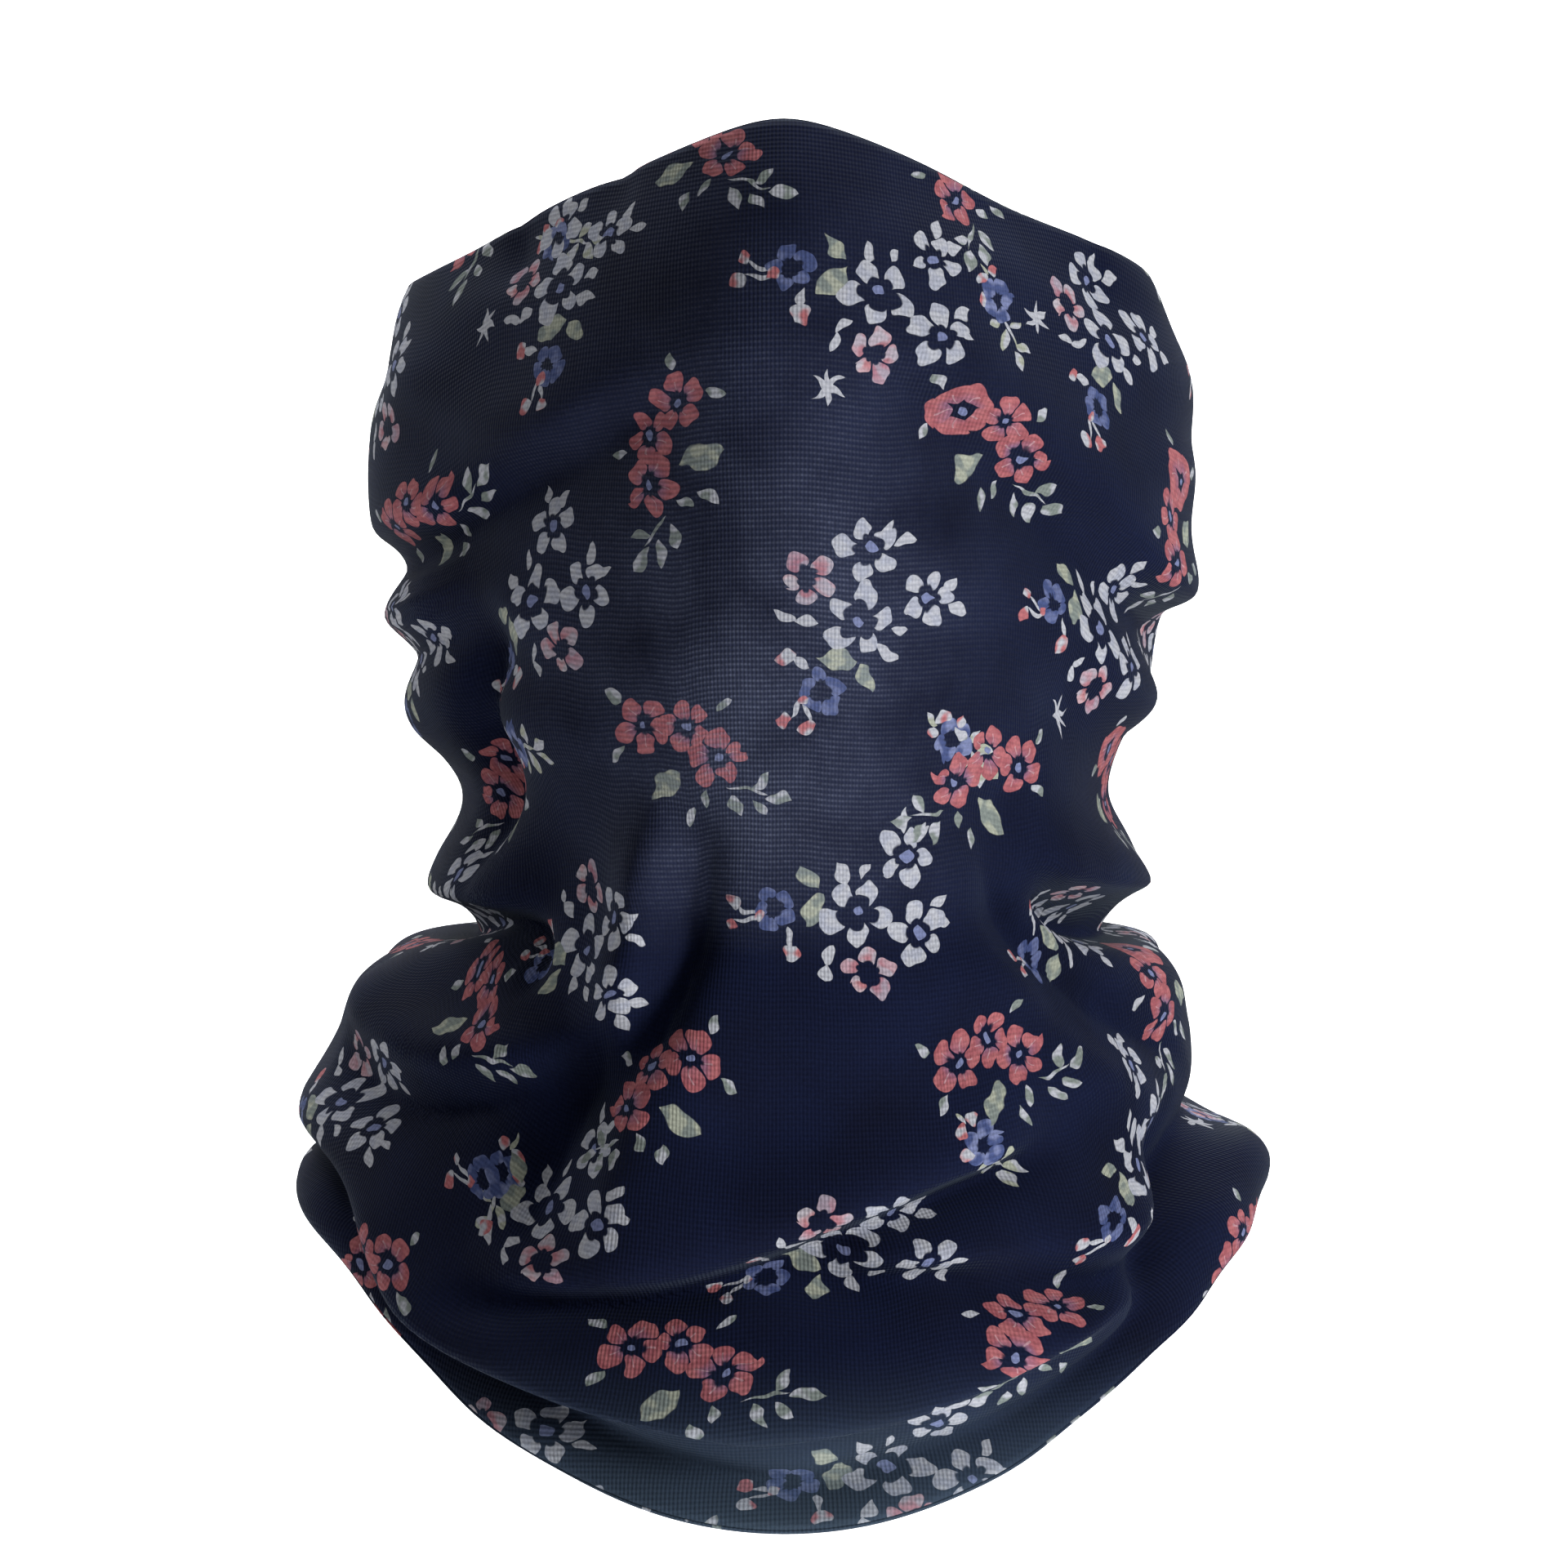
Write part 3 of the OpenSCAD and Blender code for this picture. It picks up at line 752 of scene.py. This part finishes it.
# The seam allowance is where the panel's two side edges are joined down the centre back. Both
# plies are pressed to the wearer's left and lie flat against the inside.
seam_columns = [0] + [columns - k for k in range(1, 16)]
seam_reach = np.zeros((rows, len(seam_columns)))
for k in range(1, len(seam_columns)):
    apart = cloth[:, seam_columns[k]] - cloth[:, seam_columns[k - 1]]
    seam_reach[:, k] = seam_reach[:, k - 1] + np.linalg.norm(apart, axis=-1)


def beside_seam(i, aside, depth_in):
    # A point of row i that is aside mm from the seam and depth_in mm inside the outer face
    spot = seam_reach[i]
    place = np.array([np.interp(aside, spot, cloth[i, seam_columns, k]) for k in range(3)])
    way = np.array([np.interp(aside, spot, inward[i, seam_columns, k]) for k in range(3)])
    return place + depth_in * way / np.linalg.norm(way)


seam_width = 7.0
seam_inset = 1.75
seam_first = int(np.searchsorted(depth[:, 0], hem_depth + 1))
seam_last = int(np.searchsorted(depth[:, 0], travel[-1, 0] - hem_depth - 1))
points, flat = [], []
for i in range(seam_first, seam_last):
    for aside in np.linspace(0, seam_width, 5):
        points.append(beside_seam(i, aside, seam_inset))
        flat.append((1000 * cloth_girth / 2 - aside, depth[i, 0]))
allowance = strip_piece("seam_allowance_strip", points,
                        grid_faces(seam_last - seam_first, 5, False), flat, reverse, 2 * thickness)
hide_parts("back_seam_allowance")


# Three-thread overlock in navy polyester binds every cut edge, inside both hems and along the seam
# allowance: a needle line, and looper threads that slant over the cloth to its edge and back.
stitch_length, stitch_width, thread_radius = 2.2, 3.0, 0.16
thread, n, shader = new_material("overlock_thread")
place = n.add("ShaderNodeTexCoord", out="Object")
fuzz = n.add("ShaderNodeTexNoise", {"Vector": place, "Scale": 2600.0, "Detail": 1.0}, "Fac")
n.tree.links.new(n.mixed(fuzz, srgb(26, 32, 52), srgb(60, 68, 92)), shader.inputs["Base Color"])
finish_shader(shader, {"Roughness": 0.6, "Sheen Weight": 0.2})
twist = n.add("ShaderNodeBump", {"Strength": 0.5, "Distance": 0.0001, "Height": fuzz}, "Normal")
n.tree.links.new(twist, shader.inputs["Normal"])

overlock = bpy.data.node_groups.new("overlock", "GeometryNodeTree")
for label, kind in (("Geometry", "Geometry"), ("Stitch length", "Float"), ("Width", "Float"),
                    ("Thread radius", "Float"), ("Thread", "Material")):
    overlock.interface.new_socket(label, in_out="INPUT", socket_type="NodeSocket" + kind)
overlock.interface.new_socket("Geometry", in_out="OUTPUT", socket_type="NodeSocketGeometry")
n = Nodes(overlock)
given = overlock.nodes.new("NodeGroupInput").outputs


def strand(start_aside, start_over, end_aside, end_over):
    # One thread of the stitch: start and end along the edge and over the cloth, in stitch sizes
    ends = []
    for aside, over in ((start_aside, start_over), (end_aside, end_over)):
        ends.append(n.add("ShaderNodeCombineXYZ", {
            0: n.math("MULTIPLY", given["Stitch length"], aside),
            1: n.math("MULTIPLY", given["Width"], over)}))
    crown = n.vector("ADD", n.scaled(n.vector("ADD", ends[0], ends[1]), 0.5),
                     n.add("ShaderNodeCombineXYZ", {2: n.math("MULTIPLY", given["Thread radius"],
                                                              2.6)}))
    line = n.add("GeometryNodeCurveQuadraticBezier", {"Resolution": 4, "Start": ends[0],
                 "Middle": crown, "End": ends[1]}, "Curve")
    ring = n.add("GeometryNodeCurvePrimitiveCircle", {"Resolution": 5,
                 "Radius": given["Thread radius"]}, "Curve")
    return n.add("GeometryNodeCurveToMesh", {"Curve": line, "Profile Curve": ring}, "Mesh")


joined = overlock.nodes.new("GeometryNodeJoinGeometry")
for ends in ((-0.5, 0.1, 0.5, 0.1), (-0.5, 0.08, 0.05, 1.0), (0.05, 1.0, 0.5, 0.08),
             (-0.45, 1.0, 0.55, 1.0)):
    overlock.links.new(strand(*ends), joined.inputs["Geometry"])
ways = [n.add("GeometryNodeInputNamedAttribute", {"Name": name}, "Attribute",
              data_type="FLOAT_VECTOR") for name in ("inwards", "along")]
facing = n.add("FunctionNodeAxesToRotation", {"Primary Axis": ways[0], "Secondary Axis": ways[1]},
               "Rotation", primary_axis="Z", secondary_axis="X")
placed = n.add("GeometryNodeInstanceOnPoints", {"Points": given["Geometry"],
               "Instance": joined.outputs["Geometry"], "Rotation": facing}, "Instances")
real = n.add("GeometryNodeRealizeInstances", {"Geometry": placed}, "Geometry")
smooth = n.add("GeometryNodeSetShadeSmooth", {"Geometry": real}, "Geometry")
finished = n.add("GeometryNodeSetMaterial", {"Geometry": smooth, "Material": given["Thread"]},
                 "Geometry")
overlock.links.new(finished, overlock.nodes.new("NodeGroupOutput").inputs["Geometry"])


def overlock_piece(name, node, path, insides):
    # Stitches along a path of points in mm, with the inward way at each
    path, insides = np.array(path), np.array(insides)
    run = np.concatenate([[0], np.cumsum(np.linalg.norm(np.diff(path, axis=0), axis=1))])
    count = max(2, int(run[-1] / stitch_length))
    spots = np.linspace(0, run[-1], count)
    seats = np.stack([np.interp(spots, run, path[:, k]) for k in range(3)], -1)
    faces_in = np.stack([np.interp(spots, run, insides[:, k]) for k in range(3)], -1)
    along = np.gradient(seats, axis=0)
    made = bpy.data.meshes.new(name)
    made.from_pydata((seats * MM).tolist(), [], [])
    for label, values in (("inwards", faces_in), ("along", along)):
        values = values / np.linalg.norm(values, axis=-1, keepdims=True)
        made.attributes.new(label, "FLOAT_VECTOR", "POINT").data.foreach_set(
            "vector", values.ravel())
    piece = bpy.data.objects.new(name, made)
    bpy.context.scene.collection.objects.link(piece)
    sew = piece.modifiers.new("overlock", "NODES")
    sew.node_group = overlock
    sizes = {"Stitch length": run[-1] / (count - 1) * MM, "Width": stitch_width * MM,
             "Thread radius": thread_radius * MM, "Thread": thread}
    for item in overlock.interface.items_tree:
        if item.in_out == "INPUT" and item.name in sizes:
            sew[item.identifier] = sizes[item.name]
    shown = piece.evaluated_get(bpy.context.evaluated_depsgraph_get())
    sewn = bpy.data.meshes.new_from_object(shown)
    piece.modifiers.remove(sew)
    piece.data = sewn
    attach(piece, "root")
    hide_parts(node)
    return piece


def hem_path(far, from_top):
    # A line round the inside of a hem, far mm from the edge
    path, insides = [], []
    for j in list(range(columns)) + [0]:
        spot = far if from_top else travel[-1, j] - far
        path.append(under_cloth(j, spot, hem_inset + thickness / 2 + 0.15))
        insides.append(under_cloth(j, spot, 2.0) - under_cloth(j, spot, 1.0))
    return path, insides


top_thread = overlock_piece("face_hem_overlock", "top_hem_thread",
                            *hem_path(hem_depth - stitch_width, True))
path, insides = hem_path(hem_depth - stitch_width, False)
bottom_thread = overlock_piece("collar_hem_overlock", "bottom_hem_thread",
                               path[::-1], insides[::-1])
needle_line = seam_width - stitch_width
path = [beside_seam(i, needle_line, seam_inset + thickness + 0.15)
        for i in range(seam_first, seam_last)]
insides = [beside_seam(i, needle_line, 2.0) - beside_seam(i, needle_line, 1.0)
           for i in range(seam_first, seam_last)]
seam_thread = overlock_piece("seam_overlock", "back_seam_thread", path, insides)


# The care label is a folded loop of white satin ribbon, caught by its ends in the back seam just
# above the lower hem. It is left blank.
satin, n, shader = new_material("label_ribbon")
place = n.scaled(n.add("ShaderNodeUVMap", out="UV", uv_map="cloth"), 1000.0)
weft = n.math("SINE", n.math("MULTIPLY", n.apart(place)["Y"], 2 * math.pi / 0.35))
weft = n.math("MULTIPLY_ADD", n.noise(place, 0.9, 2.0), 0.8, weft)
tone = n.add("ShaderNodeMapRange", {"Value": weft, "From Min": -1.0, "From Max": 1.8}, "Result")
n.tree.links.new(n.mixed(tone, srgb(214, 214, 210), srgb(232, 232, 228)),
                 shader.inputs["Base Color"])
finish_shader(shader, {"Roughness": 0.38, "Anisotropic": 0.5})
bump = n.add("ShaderNodeBump", {"Strength": 0.4, "Distance": 0.00005, "Height": weft}, "Normal")
n.tree.links.new(bump, shader.inputs["Normal"])

label_length, label_height, label_foot = 22.0, 16.0, -54.0
ribbon = 0.12
# Each ply's points out from the seam, its points upwards, and how far inside the cloth it hangs
ply_points, up_points = 14, 9
ply_insets = (3.2, 4.0)
out_and_back = np.concatenate([np.linspace(0, 1, ply_points), np.linspace(1, 0, ply_points)])
points, flat = [], []
for k, f in enumerate(out_and_back):
    ply = k // ply_points
    fold_round = (2 * ply - 1) * 0.4 * math.sin(math.pi * min(1.0, (1 - f) * 4))
    for h in np.linspace(0, 1, up_points):
        z = label_foot + label_height * h
        x = seam_width + 0.3 + label_length * f
        t = float(np.interp(-z, -girths[:, 2], np.arange(last_girth + 1)))
        turn = math.pi - math.asin(x / float(spline_through(girths, np.array([t]))[0, 4]))
        seat = smooth_tube(np.array([t]), np.array([turn]))[0]
        middle_way = -seat * np.array([1, 1, 0])
        middle_way /= np.linalg.norm(middle_way)
        curl = 1.4 * math.sin(2.4 * f + 1.2 * h) * f
        points.append(seat + (ply_insets[ply] + fold_round + curl) * middle_way)
        flat.append((label_length * (2 * ply + (1 - 2 * ply) * f), label_height * h))
label = strip_piece("blank_care_label", points, grid_faces(2 * ply_points, up_points, False),
                    flat, satin, ribbon)
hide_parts("care_label")


# The studio is a plain pale floor and backdrop, lit by soft lamps: the main one at the wearer's
# left front, a weak one below the collar, one for the far side, and one that lights the backdrop.
bpy.ops.mesh.primitive_plane_add(size=8, location=(0, 0, tube_low[2] - 1.20))
floor = bpy.context.object
floor.name = "floor"
bpy.ops.mesh.primitive_plane_add(size=8, location=(0, 2.5, 0), rotation=(math.pi / 2, 0, 0))
backdrop = bpy.context.object
backdrop.name = "wall"
pale, n, paper = new_material("pale")
finish_shader(paper, {"Base Color": (0.9, 0.9, 0.9, 1), "Emission Color": (1, 1, 1, 1)})
# it looks evenly pale from every side
seen = n.add("ShaderNodeLightPath", out="Is Camera Ray")
n.tree.links.new(n.math("MULTIPLY", seen, 0.8), paper.inputs["Emission Strength"])
floor.data.materials.append(pale)
backdrop.data.materials.append(pale)
world = bpy.data.worlds.new("studio")
world.use_nodes = True
sky = world.node_tree.nodes["Background"]
sky.inputs["Color"].default_value = (1, 1, 1, 1)
n = Nodes(world.node_tree)
seen = n.add("ShaderNodeLightPath", out="Is Camera Ray")
n.tree.links.new(n.math("MULTIPLY_ADD", seen, 0.75, 0.22), sky.inputs["Strength"])
bpy.context.scene.world = world


def soft_lamp(name, place, aim, size, power):
    data = bpy.data.lights.new(name, "AREA")
    data.size = size
    data.energy = power
    lamp = bpy.data.objects.new(name, data)
    lamp.location = place
    lamp.rotation_euler = (Vector(aim) - lamp.location).to_track_quat("-Z", "Y").to_euler()
    lamp.visible_camera = False
    bpy.context.scene.collection.objects.link(lamp)


soft_lamp("key", Vector((1.20, -0.85, 0.22)), (0, 0, 0), 0.45, 22)
soft_lamp("low", Vector((0.06, -0.26, -0.42)), (0.0, -0.09, -0.12), 0.25, 1.3)
soft_lamp("left side", Vector((-1.15, 0.40, 0.30)), (0, 0, 0), 0.6, 5)
soft_lamp("backdrop", Vector((0, 0.9, 1.6)), (0, 2.5, -0.2), 1.6, 90)
bpy.context.scene.view_settings.view_transform = "Standard"
